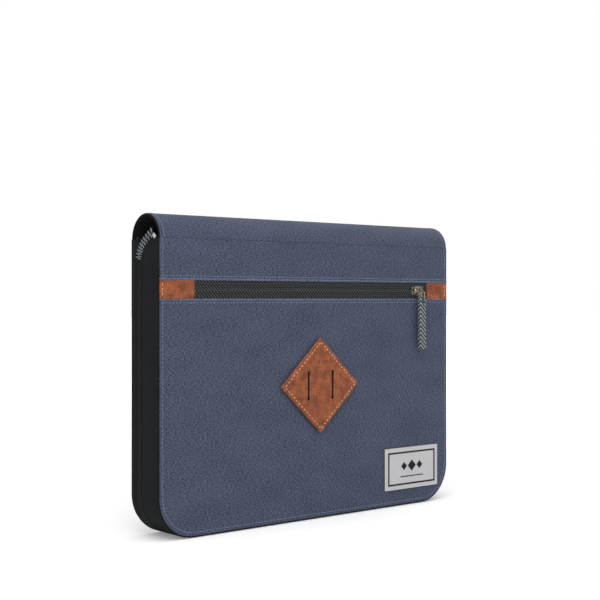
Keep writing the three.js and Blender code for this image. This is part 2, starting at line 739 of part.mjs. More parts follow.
frontHalf();
backHalf();
mainZip();
spine();
pocketBand();
lashPatch();
label();
pocketSlider();
mainSlider();
tabletHolder();
keyboard();

export default group;
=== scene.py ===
import math

import bmesh
import bpy
from mathutils import Matrix, Vector


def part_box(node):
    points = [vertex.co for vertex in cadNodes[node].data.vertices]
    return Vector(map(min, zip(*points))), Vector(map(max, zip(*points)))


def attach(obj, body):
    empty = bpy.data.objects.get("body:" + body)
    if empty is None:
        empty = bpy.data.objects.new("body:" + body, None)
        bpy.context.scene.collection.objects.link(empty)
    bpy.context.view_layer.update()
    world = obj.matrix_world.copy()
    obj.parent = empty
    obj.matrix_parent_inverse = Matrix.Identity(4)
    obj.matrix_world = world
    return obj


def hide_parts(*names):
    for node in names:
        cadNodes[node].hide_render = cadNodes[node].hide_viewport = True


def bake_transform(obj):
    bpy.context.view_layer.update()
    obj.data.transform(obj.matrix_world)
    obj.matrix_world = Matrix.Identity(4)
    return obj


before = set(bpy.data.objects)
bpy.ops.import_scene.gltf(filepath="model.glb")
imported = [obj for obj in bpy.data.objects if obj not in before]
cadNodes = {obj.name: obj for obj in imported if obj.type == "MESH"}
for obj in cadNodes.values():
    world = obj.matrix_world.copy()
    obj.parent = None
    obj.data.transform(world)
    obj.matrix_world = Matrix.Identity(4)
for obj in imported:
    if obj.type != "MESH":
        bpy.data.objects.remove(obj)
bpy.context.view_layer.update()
print("frame loaded:", len(cadNodes), "nodes")

# places read from the frame, in metres
coverLow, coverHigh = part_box("front_cover_lower")
backLow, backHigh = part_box("back_cover")
halfWidth = coverHigh.x
frontY = coverLow.y
backY = backHigh.y
archRadius = (backY - frontY) / 2
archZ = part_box("spine_strip_top")[1].z - archRadius
splitY = (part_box("front_zip_coil")[1].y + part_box("back_zip_coil")[0].y) / 2
bandLow = coverHigh.z
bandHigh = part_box("front_cover_upper")[0].z
cornerRadius = 0.028
curveEnd = halfWidth + cornerRadius * (math.pi / 2 - 1)  # run along the outline where the corner ends
frontward = Vector((0, -1, 0))


# node groups and materials
def newGroup(name, size, value, outputs):
    # a group that takes a vector and one size, and gives plain values
    group = bpy.data.node_groups.new(name, "ShaderNodeTree")
    group.interface.new_socket("Vector", in_out="INPUT", socket_type="NodeSocketVector")
    group.interface.new_socket(size, in_out="INPUT", socket_type="NodeSocketFloat").default_value = value
    for label in outputs:
        group.interface.new_socket(label, in_out="OUTPUT", socket_type="NodeSocketFloat")
    return group, group.nodes.new("NodeGroupInput"), group.nodes.new("NodeGroupOutput")


def feed(tree, value, socket):
    # a number is set on the socket, and anything else is linked to it
    if isinstance(value, (int, float)):
        socket.default_value = value
    else:
        tree.links.new(value, socket)


def mathNode(tree, operation, *values):
    node = tree.nodes.new("ShaderNodeMath")
    node.operation = operation
    for value, socket in zip(values, node.inputs):
        feed(tree, value, socket)
    return node.outputs[0]


def noiseNode(tree, vector, scale, detail):
    node = tree.nodes.new("ShaderNodeTexNoise")
    feed(tree, scale, node.inputs["Scale"])
    feed(tree, detail, node.inputs["Detail"])
    feed(tree, vector, node.inputs["Vector"])
    return node.outputs["Fac"]


def stretched(tree, vector, factors):
    node = tree.nodes.new("ShaderNodeVectorMath")
    node.operation = "MULTIPLY"
    node.inputs[1].default_value = factors
    tree.links.new(vector, node.inputs[0])
    return node.outputs[0]


def remapped(tree, value, low, high, toLow=0.0, toHigh=1.0):
    node = tree.nodes.new("ShaderNodeMapRange")
    for label, given in zip(("Value", "From Min", "From Max", "To Min", "To Max"), (value, low, high, toLow, toHigh)):
        feed(tree, given, node.inputs[label])
    return node.outputs[0]


weaveYarn = {
    "weft": (560, 3300, 1),  # noise cells per metre, along and across the yarn
    "warp": (3300, 900, 1),
    "broad": (26, 60, 1),
    "weftShare": 0.72,
    "broadShare": 0.08,
    "slubRange": (0.425, 0.585),
    "sag": 14.0,
}


# plain weave: over-and-under threads, with slubs that make some yarns paler than others
def buildWeave():
    group, start, end = newGroup("plainWeave", "Pitch", 0.0009, ("Slub", "Thread", "Sag"))
    vector = start.outputs["Vector"]
    split = group.nodes.new("ShaderNodeSeparateXYZ")
    group.links.new(vector, split.inputs[0])
    waves = []
    for axis in (0, 1):
        turns = mathNode(group, "DIVIDE", split.outputs[axis], start.outputs["Pitch"])
        waves.append(mathNode(group, "SINE", mathNode(group, "MULTIPLY", turns, math.pi)))
    thread = mathNode(group, "MULTIPLY_ADD", mathNode(group, "MULTIPLY", *waves), 0.5, 0.5)
    weft, warp, broad = (
        noiseNode(group, stretched(group, vector, weaveYarn[kind]), 1.0, detail)
        for kind, detail in (("weft", 2.0), ("warp", 2.0), ("broad", 3.0))
    )
    warpPart = mathNode(group, "MULTIPLY", warp, 1 - weaveYarn["weftShare"])
    both = mathNode(group, "MULTIPLY_ADD", weft, weaveYarn["weftShare"], warpPart)
    finePart = mathNode(group, "MULTIPLY", both, 1 - weaveYarn["broadShare"])
    slub = mathNode(group, "MULTIPLY_ADD", broad, weaveYarn["broadShare"], finePart)
    group.links.new(remapped(group, slub, *weaveYarn["slubRange"]), end.inputs["Slub"])
    group.links.new(thread, end.inputs["Thread"])
    group.links.new(noiseNode(group, vector, weaveYarn["sag"], 2.0), end.inputs["Sag"])
    return group


# twill: fine diagonal ribs
def buildTwill():
    group, start, end = newGroup("twillRib", "Pitch", 0.0011, ("Rib", "Lint"))
    split = group.nodes.new("ShaderNodeSeparateXYZ")
    group.links.new(start.outputs["Vector"], split.inputs[0])

    def ripple(distance, turns, depth):
        share = mathNode(group, "DIVIDE", distance, start.outputs["Pitch"])
        wave = mathNode(group, "SINE", mathNode(group, "MULTIPLY", share, turns * math.pi))
        return mathNode(group, "MULTIPLY_ADD", wave, depth, 1 - depth)

    rib = ripple(mathNode(group, "ADD", split.outputs[0], split.outputs[1]), 2, 0.5)
    notch = ripple(split.outputs[0], 4, 0.15)
    group.links.new(mathNode(group, "MULTIPLY", rib, notch), end.inputs["Rib"])
    group.links.new(noiseNode(group, start.outputs["Vector"], 900.0, 4.0), end.inputs["Lint"])
    return group


# leather: pebbles with creases between them and a slow change of tone
def buildPebble():
    group, start, end = newGroup("pebbleGrain", "Scale", 900.0, ("Height", "Crease", "Tone"))
    vector = start.outputs["Vector"]
    waver = group.nodes.new("ShaderNodeTexNoise")
    waver.inputs["Scale"].default_value = 300.0
    group.links.new(vector, waver.inputs["Vector"])
    shift = group.nodes.new("ShaderNodeVectorMath")
    shift.operation = "MULTIPLY_ADD"
    group.links.new(waver.outputs["Color"], shift.inputs[0])
    shift.inputs[1].default_value = (0.0012, 0.0012, 0.0012)
    group.links.new(vector, shift.inputs[2])
    cells = group.nodes.new("ShaderNodeTexVoronoi")
    cells.feature = "DISTANCE_TO_EDGE"
    group.links.new(shift.outputs[0], cells.inputs["Vector"])
    group.links.new(start.outputs["Scale"], cells.inputs["Scale"])
    rim = cells.outputs["Distance"]
    group.links.new(remapped(group, rim, 0.0, 0.32), end.inputs["Height"])
    group.links.new(remapped(group, rim, 0.0, 0.09, 1.0, 0.0), end.inputs["Crease"])
    group.links.new(remapped(group, noiseNode(group, vector, 160.0, 5.0), 0.36, 0.64), end.inputs["Tone"])
    return group


# rubbed and dusty patches for metal, plastic and board
def buildHandling():
    group, start, end = newGroup("handlingMarks", "Scale", 120.0, ("Mask", "Fine"))
    patch = noiseNode(group, start.outputs["Vector"], start.outputs["Scale"], 6.0)
    group.links.new(remapped(group, patch, 0.38, 0.66), end.inputs["Mask"])
    group.links.new(noiseNode(group, start.outputs["Vector"], 2600.0, 3.0), end.inputs["Fine"])
    return group


weaveGroup = buildWeave()
twillGroup = buildTwill()
pebbleGroup = buildPebble()
handlingGroup = buildHandling()


def startMaterial(name, color, roughness, metallic=0.0):
    material = bpy.data.materials.new(name)
    material.use_nodes = True
    shader = material.node_tree.nodes["Principled BSDF"]
    shader.inputs["Base Color"].default_value = (*color, 1)
    shader.inputs["Roughness"].default_value = roughness
    shader.inputs["Metallic"].default_value = metallic
    material.diffuse_color = (*color, 1)
    return material, material.node_tree, shader


def place(tree, group, vector, **values):
    node = tree.nodes.new("ShaderNodeGroup")
    node.node_tree = group
    tree.links.new(vector, node.inputs["Vector"])
    for label, value in values.items():
        node.inputs[label].default_value = value
    return node


def coordinates(tree, onCloth):
    if onCloth:
        node = tree.nodes.new("ShaderNodeUVMap")
        node.uv_map = "cloth"
        return node.outputs["UV"]
    return tree.nodes.new("ShaderNodeTexCoord").outputs["Object"]


def mixColors(tree, factor, dark, light):
    node = tree.nodes.new("ShaderNodeMix")
    node.data_type = "RGBA"
    for socket, value in ((node.inputs["A"], dark), (node.inputs["B"], light)):
        if isinstance(value, tuple):
            socket.default_value = (*value, 1)
        else:
            tree.links.new(value, socket)
    tree.links.new(factor, node.inputs["Factor"])
    return node.outputs["Result"]


def addBump(tree, shader, height, distance, strength=1.0, below=None):
    node = tree.nodes.new("ShaderNodeBump")
    node.inputs["Distance"].default_value = distance
    node.inputs["Strength"].default_value = strength
    tree.links.new(height, node.inputs["Height"])
    if below is not None:
        tree.links.new(below, node.inputs["Normal"])
    tree.links.new(node.outputs["Normal"], shader.inputs["Normal"])
    return node.outputs["Normal"]


navyCloth = {
    "dark": (0.003, 0.006, 0.016),
    "pale": (0.112, 0.134, 0.208),
    "pitch": 0.00062,
    "roughness": 0.82,
    "sheen": 0.12,
    "threadShare": 0.24,
    "slubShare": 0.82,
}


def makeNavy(name="navyCloth", shade=1.0):
    material, tree, shader = startMaterial(name, navyCloth["dark"], navyCloth["roughness"])
    weave = place(tree, weaveGroup, coordinates(tree, True), Pitch=navyCloth["pitch"])
    # a shade above 1 gives a lighter copy of the cloth, used as a painted highlight
    dark = tuple(c * shade for c in navyCloth["dark"])
    pale = tuple(c * shade for c in navyCloth["pale"])
    slubPart = mathNode(tree, "MULTIPLY", weave.outputs["Slub"], navyCloth["slubShare"])
    tone = mathNode(tree, "MULTIPLY_ADD", weave.outputs["Thread"], navyCloth["threadShare"], slubPart)
    tree.links.new(mixColors(tree, tone, dark, pale), shader.inputs["Base Color"])
    slow = addBump(tree, shader, weave.outputs["Sag"], 0.0007, 0.5)
    addBump(tree, shader, weave.outputs["Thread"], 0.00016, 0.8, slow)
    shader.inputs["Sheen Weight"].default_value = navyCloth["sheen"]
    shader.inputs["Sheen Roughness"].default_value = 0.4
    shader.inputs["Specular IOR Level"].default_value = 0.3
    return material


def makeTwill(name, dark, pale, pitch=0.0011, onCloth=True, roughness=0.85, depth=0.0002):
    material, tree, shader = startMaterial(name, dark, roughness)
    twill = place(tree, twillGroup, coordinates(tree, onCloth), Pitch=pitch)
    lint = mathNode(tree, "MULTIPLY_ADD", twill.outputs["Lint"], 0.8, 0.3)
    tone = mathNode(tree, "MULTIPLY", twill.outputs["Rib"], lint)
    tree.links.new(mixColors(tree, tone, dark, pale), shader.inputs["Base Color"])
    addBump(tree, shader, twill.outputs["Rib"], depth, 0.9)
    shader.inputs["Specular IOR Level"].default_value = 0.12
    return material


def makeLeather(name, dark, pale, scale=900.0, roughness=0.5):
    material, tree, shader = startMaterial(name, pale, roughness)
    pebble = place(tree, pebbleGroup, coordinates(tree, False), Scale=scale)
    toned = mixColors(tree, pebble.outputs["Tone"], dark, pale)
    crease = pebble.outputs["Crease"]
    # the creases are painted darker: painted shade in the grain's hollows
    creaseShade = mathNode(tree, "MULTIPLY", crease, 0.95)
    tree.links.new(mixColors(tree, creaseShade, toned, tuple(c * 0.3 for c in dark)), shader.inputs["Base Color"])
    tree.links.new(remapped(tree, crease, 0, 1, roughness, roughness + 0.25), shader.inputs["Roughness"])
    addBump(tree, shader, pebble.outputs["Height"], 0.0005, 0.9)
    return material


def makeHandled(name, color, roughness, metallic=0.0, scale=120.0, spread=0.15, rubbed=1.35, grain=0.00002):
    material, tree, shader = startMaterial(name, color, roughness, metallic)
    marks = place(tree, handlingGroup, coordinates(tree, False), Scale=scale)
    pale = tuple(min(1.0, c * rubbed) for c in color)
    mask = marks.outputs["Mask"]
    tree.links.new(mixColors(tree, mask, color, pale), shader.inputs["Base Color"])
    tree.links.new(remapped(tree, mask, 0, 1, roughness, roughness + spread), shader.inputs["Roughness"])
    addBump(tree, shader, marks.outputs["Fine"], grain, 0.6)
    return material


navy = makeNavy()
# lighter navy copy for the rolled edges: painted highlight
navyFoldHighlight = makeNavy("navyPaintedHighlight", 1.7)
blackTwill = makeTwill("blackTwill", (0.003, 0.0033, 0.0036), (0.02, 0.022, 0.024))
blackWall = makeTwill("gussetTwill", (0.0008, 0.0009, 0.001), (0.03, 0.032, 0.035), 0.0021, depth=0.0003)
bandTape = makeTwill("pocketTape", (0.0008, 0.001, 0.0012), (0.152, 0.162, 0.172), 0.0025, True, 0.7)
innerCloth = makeTwill("innerLining", (0.012, 0.013, 0.015), (0.05, 0.053, 0.06), 0.0009, False)
webbing = makeTwill("pullWebbing", (0.01, 0.012, 0.013), (0.52, 0.565, 0.58), 0.0032, True, 0.8, 0.0007)
tanLeather = makeLeather("tanLeather", (0.26, 0.056, 0.012), (0.54, 0.138, 0.033))
# paler cut-edge leather: partly the edge's own colour, partly a painted highlight on the rims
tanEdgeAndHighlight = makeLeather("tanCutEdgeHighlight", (0.36, 0.125, 0.055), (0.62, 0.27, 0.14), 1500.0, 0.3)
tanThread = makeHandled("tanThread", (0.6, 0.34, 0.2), 0.5)
blueThread = makeHandled("paleBlueThread", (0.12, 0.155, 0.25), 0.65)
coilNylon = makeHandled("coilNylon", (0.034, 0.038, 0.042), 0.34, 0.0, 400.0)
greyNylon = makeHandled("greyNylon", (0.15, 0.17, 0.19), 0.35, 0.0, 400.0)
agedBrass = makeHandled("agedBrass", (0.15, 0.13, 0.1), 0.16, 1.0, 700.0, 0.22, 3.0)
satinSilver = makeHandled("satinSilver", (0.54, 0.54, 0.55), 0.42, 0.35, 60.0, 0.08, 1.06)
labelInk = makeHandled("labelInk", (0.003, 0.0025, 0.002), 0.8)
blackPlastic = makeHandled("blackPlastic", (0.012, 0.013, 0.015), 0.42, 0.0, 60.0, 0.15, 1.5, 0.00004)
keyPlastic = makeHandled("keyPlastic", (0.008, 0.008, 0.009), 0.5, 0.0, 90.0, 0.12, 1.6, 0.00004)
blastedMetal = makeHandled("blastedMetal", (0.42, 0.44, 0.46), 0.42, 0.9, 80.0, 0.1, 1.1, 0.00005)
greyBoard = makeHandled("greyBoard", (0.03, 0.03, 0.032), 0.9, 0.0, 300.0)
greenBoard = makeHandled("circuitBoard", (0.01, 0.07, 0.03), 0.4, 0.0, 200.0)
foilWrap = makeHandled("foilWrap", (0.5, 0.5, 0.5), 0.35, 0.6, 150.0)
archLining = makeTwill("archLining", (0.004, 0.004, 0.005), (0.016, 0.017, 0.019), 0.0011)
print("materials made")


# modelling helpers
def newObject(name, data):
    made = bpy.data.objects.new(name, data)
    bpy.context.scene.collection.objects.link(made)
    return made


def faceOutward(bm):
    bmesh.ops.recalc_face_normals(bm, faces=bm.faces[:])


def spinRound(bm, geom, centre, axis, angle, steps):
    bmesh.ops.spin(
        bm, geom=geom, cent=centre, axis=axis, dvec=(0, 0, 0), angle=angle, steps=steps,
        use_merge=False, use_duplicate=False,
    )


def vertsOf(made):
    return [item for item in made["geom"] if isinstance(item, bmesh.types.BMVert)]


def extrude(bm, faces, travel):
    # pull the faces out by travel, and give back their moved corners
    moved = vertsOf(bmesh.ops.extrude_face_region(bm, geom=faces))
    bmesh.ops.translate(bm, verts=moved, vec=travel)
    return moved


def bevelled(bm, geom, offset, segments, affect="VERTICES"):
    bmesh.ops.bevel(
        bm, geom=geom, offset=offset, offset_type="OFFSET", segments=segments,
        profile=0.5, affect=affect, material=-1,
    )


def addBox(bm, centre, size, turn=Matrix()):
    matrix = Matrix.Translation(centre) @ turn @ Matrix.Diagonal((*size, 1))
    return bmesh.ops.create_cube(bm, size=1.0, matrix=matrix)


def addBead(bm, centre, axes, radius=0.55):
    # one zip tooth: a rounded bead stretched along three axes
    turn = Matrix(axes).transposed().to_4x4()
    bmesh.ops.create_icosphere(bm, subdivisions=1, radius=radius, matrix=Matrix.Translation(centre) @ turn)


def evaluatedMesh(piece):
    bpy.context.view_layer.update()
    return bpy.data.meshes.new_from_object(piece.evaluated_get(bpy.context.evaluated_depsgraph_get()))


def outwardOf(x, z):
    # direction pointing out of the case's round-cornered outline
    side = halfWidth - cornerRadius
    if z >= cornerRadius:
        return Vector((math.copysign(1, x), 0, 0))
    if abs(x) <= side:
        return Vector((0, 0, -1))
    return Vector((x - math.copysign(side, x), 0, z - cornerRadius)).normalized()


def girthOf(x, z):
    # distance along the outline from the middle of the bottom edge
    side = halfWidth - cornerRadius
    if z >= cornerRadius:
        run = curveEnd + z - cornerRadius
    elif abs(x) <= side:
        run = abs(x)
    else:
        run = side + cornerRadius * math.atan2(abs(x) - side, cornerRadius - z)
    return math.copysign(run, x)


def girthPoint(run, inset=0.0):
    # the point on the outline, moved in by inset, at a distance along it
    side = halfWidth - cornerRadius
    distance = abs(run)
    sign = 1 if run >= 0 else -1
    if distance <= side:
        return Vector((run, 0, inset)), Vector((1, 0, 0))
    if distance <= curveEnd:
        angle = (distance - side) / cornerRadius
        radius = cornerRadius - inset
        return (
            Vector((sign * (side + radius * math.sin(angle)), 0, cornerRadius - radius * math.cos(angle))),
            Vector((math.cos(angle), 0, sign * math.sin(angle))),
        )
    return Vector((sign * (halfWidth - inset), 0, cornerRadius + distance - curveEnd)), Vector((0, 0, sign))


def layCloth(bm, mapping):
    layer = bm.loops.layers.uv.get("cloth") or bm.loops.layers.uv.new("cloth")
    for face in bm.faces:
        for loop in face.loops:
            loop[layer].uv = mapping(loop.vert.co)


def finishPiece(name, bm, materials, body=None, replaces=(), smooth=True, evenNormals=True):
    mesh = bpy.data.meshes.new(name)
    bm.to_mesh(mesh)
    bm.free()
    for material in materials:
        mesh.materials.append(material)
    for polygon in mesh.polygons:
        polygon.use_smooth = smooth
    piece = newObject(name, mesh)
    if evenNormals:
        piece.modifiers.new("evenNormals", "WEIGHTED_NORMAL")
    if body:
        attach(piece, body)
    if replaces:
        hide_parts(*replaces)
    return piece


def blankFace(bm, corners, rounded=None, radius=0.0, segments=14):
    verts = [bm.verts.new(corner) for corner in corners]
    bm.faces.new(verts)
    if rounded:
        bevelled(bm, [verts[i] for i in rounded], radius, segments)
    return bm.faces[:]


def thicken(bm, faces, depth, soften, both=False, squareAt=None):
    # extrude the blank towards +Y and round its rims
    faceY = faces[0].verts[0].co.y
    extrude(bm, faces, (0, depth, 0))
    faceOutward(bm)

    def isRim(edge):
        flat = all(abs(v.co.y - faceY) < 1e-7 for v in edge.verts)
        far = both and all(abs(v.co.y - faceY - depth) < 1e-7 for v in edge.verts)
        square = squareAt is not None and all(abs(v.co.z - squareAt) < 1e-7 for v in edge.verts)
        return (flat or far) and not square and edge.calc_face_angle(0) > 1

    bevelled(bm, [edge for edge in bm.edges if isRim(edge)], soften, 3, "EDGES")


def addStitch(bm, centre, along, outward, style, materialIndex=0):
    across = along.cross(outward).normalized()
    axes = (along * style["length"] / 2, across * style["width"] / 2, outward * style["height"])
    turn = Matrix(axes).transposed().to_4x4()
    made = bmesh.ops.create_uvsphere(
        bm, u_segments=6, v_segments=4, radius=1.0,
        matrix=Matrix.Translation(centre) @ turn @ Matrix.Rotation(math.pi / 2, 4, "Y"),
    )
    for face in {f for v in made["verts"] for f in v.link_faces}:
        face.material_index = materialIndex


topStitch = {
    "pitch": 0.0027,
    "length": 0.0021,
    "width": 0.0007,
    "height": 0.00034,
    "inset": 0.0034,
    "rowInset": 0.0016,  # from the cloth's own edge
    "rise": 0.0008,  # the rows sit higher along the bottom
}


def stitchLine(bm, first, last, style=topStitch, materialIndex=0):
    run = last - first
    count = max(1, int(run.length / style["pitch"]))
    for step in range(count):
        centre = first + run * ((step + 0.5) / count)
        addStitch(bm, centre, run.normalized(), frontward, style, materialIndex)


# front and back cloth
coverCloth = {
    "sideInset": 0.0006,
    "bottomInset": 0.0013,  # the gusset's rim shows below the cloth
    "radius": 0.0262,
    "soften": 0.0006,
    "foldHeight": 0.0016,  # folded cloth edge beside the pocket zip
    "foldDepth": 0.0015,
    "foldRow": 0.0026,  # its stitches, from the edge
}
clothHalf = halfWidth - coverCloth["sideInset"]


def flatCloth(point):
    return (point.x, point.z)


def makeCover(name, bottom, top, nearY, farY, roundBottom, body, replaced):
    bm = bmesh.new()
    ends = ((-clothHalf, bottom), (clothHalf, bottom), (clothHalf, top), (-clothHalf, top))
    corners = [(x, nearY, z) for x, z in ends]
    faces = blankFace(bm, corners, (0, 1) if roundBottom else None, coverCloth["radius"])
    thicken(bm, faces, farY - nearY, coverCloth["soften"], squareAt=archZ)
    for face in bm.faces:
        if abs(face.normal.x) > 0.9 and abs(face.calc_center_median().x) > clothHalf - 0.0002:
            face.material_index = 1
    layCloth(bm, flatCloth)
    finishPiece(name, bm, [navy, blackTwill], body, [replaced])


def coverStitches(name, outward, faceY, gaps, body):
    bm = bmesh.new()
    total = curveEnd + archZ - cornerRadius
    count = int(2 * total / topStitch["pitch"])
    for step in range(count):
        run = -total + 2 * total * (step + 0.5) / count
        point, along = girthPoint(run, coverCloth["bottomInset"] + topStitch["rowInset"])
        if point.z > cornerRadius and any(low < point.z < high for low, high in gaps):
            continue
        if abs(run) < curveEnd:
            point.z += topStitch["rise"]
        addStitch(bm, point + Vector((0, faceY, 0)), along, outward, topStitch)
    finishPiece(name, bm, [blueThread], body, (), True, False)


def makeCovers():
    low, gap = coverCloth["bottomInset"], 0.001
    makeCover("frontClothLower", low, bandLow, frontY, coverHigh.y, True, "front_half", "front_cover_lower")
    makeCover("frontClothUpper", bandHigh, archZ, frontY, coverHigh.y, False, "front_half", "front_cover_upper")
    makeCover("backCloth", low, archZ, backY, backLow.y, True, "back_half", "back_cover")
    coverStitches("frontEdgeStitches", frontward, frontY, [(bandLow - gap, bandHigh + gap)], "front_half")
    coverStitches("backEdgeStitches", -frontward, backY, [], "back_half")
    # rolled cloth edges above and below the pocket zip, each with its stitch row
    fold = coverCloth["foldHeight"]
    for name, z, sign in (("foldedEdgeUpper", bandHigh, 1), ("foldedEdgeLower", bandLow, -1)):
        bm = bmesh.new()
        verts = bmesh.ops.create_circle(bm, cap_ends=True, segments=14, radius=0.5)["verts"]
        bmesh.ops.scale(bm, vec=(fold, coverCloth["foldDepth"], 1), verts=verts)
        bmesh.ops.rotate(bm, cent=(0, 0, 0), matrix=Matrix.Rotation(math.pi / 2, 3, "Y"), verts=verts)
        bmesh.ops.translate(bm, vec=(-clothHalf, frontY + 0.00045, z + sign * fold * 0.42), verts=verts)
        extrude(bm, bm.faces[:], (2 * clothHalf, 0, 0))
        faceOutward(bm)
        layCloth(bm, flatCloth)
        # the rolled edges wear the lighter navy copy, a painted highlight
        finishPiece(name, bm, [navyFoldHighlight], "front_half", ())
        rows = bmesh.new()
        level = z + sign * coverCloth["foldRow"]
        stitchLine(rows, Vector((gap - clothHalf, frontY, level)), Vector((clothHalf - gap, frontY, level)))
        finishPiece(name + "Stitches", rows, [blueThread], "front_half", (), True, False)


makeCovers()
print("covers made")


# spine arch: one curved quarter-round sheet across each fold
archSheet = {"wall": 0.0016, "steps": 24, "stitches": 10}
archStitch = {**topStitch, "length": topStitch["length"] * 0.9}


def archPoint(angle, radius):
    # angle runs from 0 at the front to pi at the back
    return Vector((0, -radius * math.cos(angle), archZ + radius * math.sin(angle)))


def makeArch():
    folds = [
        ("spineClothFront", "front_half", "spine", ["spine_strip_front", "spine_strip_top"]),
        ("spineClothBack", "spine", "back_half", ["spine_strip_back"]),
    ]
    quarter = math.pi / 2
    inner = archRadius - archSheet["wall"]
    count = archSheet["stitches"]
    for index, (name, nearBody, farBody, replaced) in enumerate(folds):
        start = index * quarter
        bm = bmesh.new()
        rim = ((-clothHalf, archRadius), (clothHalf, archRadius), (clothHalf, inner), (-clothHalf, inner))
        verts = [bm.verts.new(Vector((x, 0, 0)) + archPoint(start, radius)) for x, radius in rim]
        bm.faces.new(verts)
        bevelled(bm, verts[:2], 0.0007, 3)
        spinRound(bm, bm.faces[:] + bm.edges[:], (0, 0, archZ), (-1, 0, 0), quarter, archSheet["steps"])
        bmesh.ops.remove_doubles(bm, verts=bm.verts[:], dist=1e-6)
        faceOutward(bm)
        for face in bm.faces:
            middle = face.calc_center_median()
            inward = Vector((0, middle.y, middle.z - archZ)).length < inner + 0.0002
            face.material_index = 1 if inward or abs(face.normal.x) > 0.5 else 0
        layCloth(bm, lambda point: (point.x, archZ + archRadius * math.atan2(point.z - archZ, -point.y)))
        for sign in (-1, 1):
            for step in range(count):
                angle = start + quarter * (step + 0.5) / count
                sideways = Vector((sign * (clothHalf - topStitch["inset"]), 0, 0))
                outward = Vector((0, -math.cos(angle), math.sin(angle)))
                along = Vector((0, math.sin(angle), math.cos(angle)))
                addStitch(bm, archPoint(angle, archRadius) + sideways, along, outward, archStitch, 2)
        piece = finishPiece(name, bm, [navy, archLining, blueThread], None, (), True, False)
        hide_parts(*replaced)
        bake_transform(piece)


makeArch()
print("spine made")


# gusset walls and the main zip's teeth
wallCloth = {
    "steps": 9,
    "bulge": 0.0004,
    "reach": 0.0002,  # short of the case's faces and of the spine
    "rim": 0.0005,
    "zipRoom": 0.0026,
    "thickness": 0.0012,
}
zipTeeth = {"pitch": 0.00145, "width": 0.00072, "reach": 0.0034, "height": 0.0013, "overlap": 0.00035, "sink": 0.0007}


def solidify(piece, thickness):
    wall = piece.modifiers.new("wall", "SOLIDIFY")
    wall.thickness = thickness
    wall.offset = -1


def makeWall(name, nearY, farY, body, replaced):
    bm = bmesh.new()
    top = archZ - wallCloth["reach"]
    blank = [(-halfWidth, nearY, 0), (halfWidth, nearY, 0), (halfWidth, nearY, top), (-halfWidth, nearY, top)]
    blankFace(bm, blank, (0, 1), cornerRadius, 16)
    bmesh.ops.delete(bm, geom=bm.faces[:], context="FACES_ONLY")
    topEdge = [e for e in bm.edges if all(abs(v.co.z - top) < 1e-7 for v in e.verts)]
    bmesh.ops.delete(bm, geom=topEdge, context="EDGES")
    sides = [e for e in bm.edges if e.calc_length() > 0.05]
    bmesh.ops.subdivide_edges(bm, edges=sides, cuts=8)
    edges = bm.edges[:]
    for step in range(wallCloth["steps"]):
        made = bmesh.ops.extrude_edge_only(bm, edges=edges)
        edges = [item for item in made["geom"] if isinstance(item, bmesh.types.BMEdge)]
        bmesh.ops.translate(bm, verts=vertsOf(made), vec=(0, (farY - nearY) / wallCloth["steps"], 0))
    for vert in bm.verts:
        share = (vert.co.y - nearY) / (farY - nearY)
        out = outwardOf(vert.co.x, vert.co.z)
        swell = 0 if abs(out.z) > 0.5 else wallCloth["bulge"] * math.sin(math.pi * share)
        tuck = 0 if 0.01 <= share <= 0.99 else wallCloth["rim"]
        vert.co += out * (swell - tuck)
    faceOutward(bm)
    sample = max(bm.faces, key=lambda f: f.calc_center_median().x)
    if sample.normal.x < 0:
        bmesh.ops.reverse_faces(bm, faces=bm.faces[:])
    layCloth(bm, lambda point: (point.y, girthOf(point.x, point.z)))
    solidify(finishPiece(name, bm, [blackWall], body, [replaced], True, False), wallCloth["thickness"])


def makeTeeth(name, sign, body, phase):
    bm = bmesh.new()
    total = curveEnd + zipTail["foot"] - cornerRadius
    count = int(2 * total / zipTeeth["pitch"])
    level = Vector((0, splitY + sign * (zipTeeth["reach"] / 2 - zipTeeth["overlap"]), 0))
    for step in range(count):
        point, along = girthPoint(-total + 2 * total * (step + 0.5 + phase) / count)
        out = outwardOf(point.x, point.z)
        axes = (along * zipTeeth["width"], Vector((0, zipTeeth["reach"], 0)), out * zipTeeth["height"])
        addBead(bm, point + level - out * zipTeeth["sink"], axes)
    finishPiece(name, bm, [coilNylon], body, (), True, False)


zipTail = {
    "foot": 0.181,
    "end": (-0.0098, 0.1985),
    "frontWidth": 0.0075,
    "backWidth": 0.0042,
    "steps": 22,
    "wall": 0.0007,
    "teeth": 10,
    "tooth": (0.00085, 0.0042, 0.0014),  # along the zip, across it, and out
    "toothShift": 0.0013,
    "stop": (0.0012, 0.0022, 0.0032),
}


def tailFrame(share, half):
    # the zip's last stretch leans forward under the spine: (y, z) on the side of the case
    knots = [(splitY, zipTail["foot"]), (splitY, 0.1875), (splitY - 0.006, 0.193), zipTail["end"]]
    first, second, third, last = (Vector(knot) for knot in knots)
    rest = 1 - share
    point = first * rest**3 + second * 3 * rest**2 * share + third * 3 * rest * share**2 + last * share**3
    slope = (second - first) * 3 * rest**2 + (third - second) * 6 * rest * share + (last - third) * 3 * share**2
    along = slope.normalized()
    return point, along, Vector((along.y, -along.x)) * half


